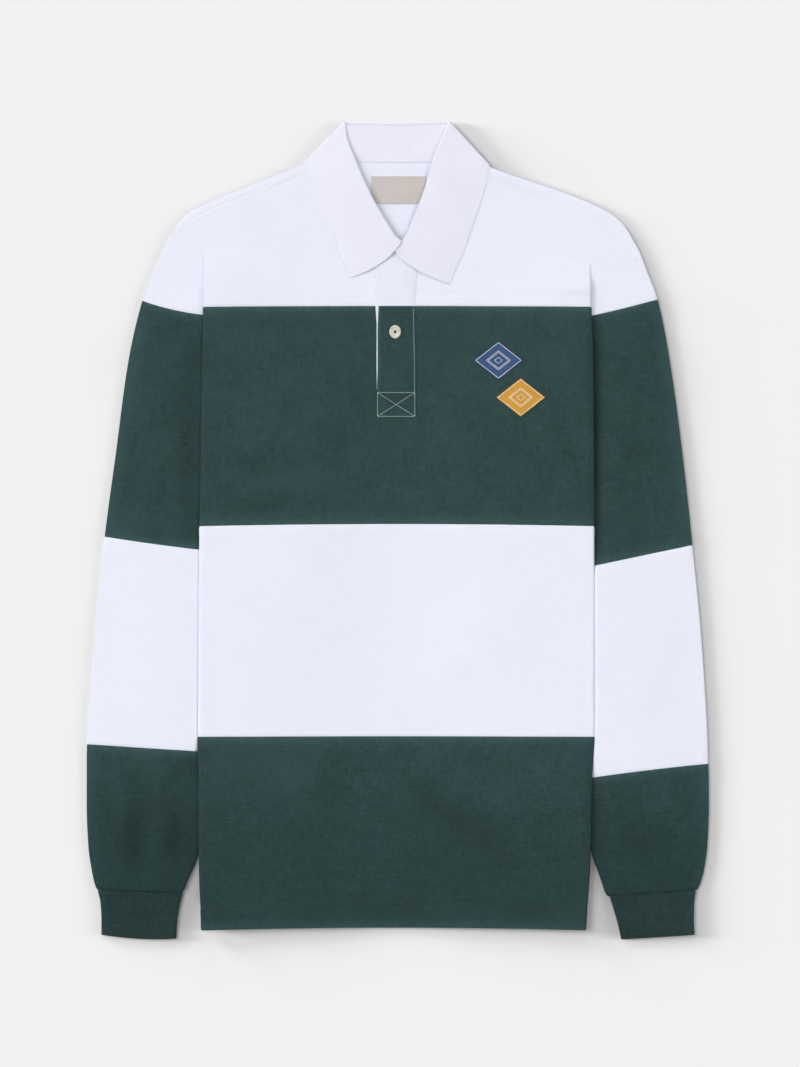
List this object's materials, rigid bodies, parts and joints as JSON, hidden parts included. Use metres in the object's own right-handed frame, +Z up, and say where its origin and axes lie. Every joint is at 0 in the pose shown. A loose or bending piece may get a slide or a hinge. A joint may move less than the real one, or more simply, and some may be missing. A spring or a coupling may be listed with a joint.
{
  "type": "rugby shirt",
  "caption": "Long-sleeved rugby shirt in broad bands, laid flat on its back with the sides folded under, a turned-down collar, a short buttoned placket and closed cuffs.",
  "frame": {"origin": "bottom centre of the box round the shirt, on the surface that it lies on", "axes": "+Y from the hem to the collar, +X to the right as seen from above, +Z up out of the front of the shirt"},
  "size_m": [0.588, 0.7734, 0.0117],
  "materials": {
    "white_jersey": "matt cotton jersey",
    "green_jersey": "matt cotton jersey",
    "white_twill": "fine cotton twill",
    "button_ecru": "satin",
    "label_beige": "woven",
    "felt_blue": "embroidered",
    "felt_mustard": "embroidered"
  },
  "bodies": {
    "root": {"front_yoke_left": "white_jersey", "front_yoke_right": "white_jersey", "back_yoke": "white_jersey", "front_middle_white": "white_jersey", "back_middle_white": "white_jersey", "sleeve_left_cap": "white_jersey", "sleeve_right_cap": "white_jersey", "sleeve_left_middle_white": "white_jersey", "sleeve_right_middle_white": "white_jersey", "front_upper_green": "green_jersey", "front_lower_green": "green_jersey", "back_upper_green": "green_jersey", "back_lower_green": "green_jersey", "sleeve_left_upper_green": "green_jersey", "sleeve_left_lower_green": "green_jersey", "sleeve_right_upper_green": "green_jersey", "sleeve_right_lower_green": "green_jersey", "cuff_left": "green_jersey", "cuff_right": "green_jersey", "placket_top_green": "green_jersey", "collar_stand": "white_twill", "collar_fall": "white_twill", "placket_under": "white_twill", "placket_top_white": "white_twill", "button": "button_ecru", "neck_label": "label_beige", "badge_blue": "felt_blue", "badge_mustard": "felt_mustard"}
  },
  "joints": []
}
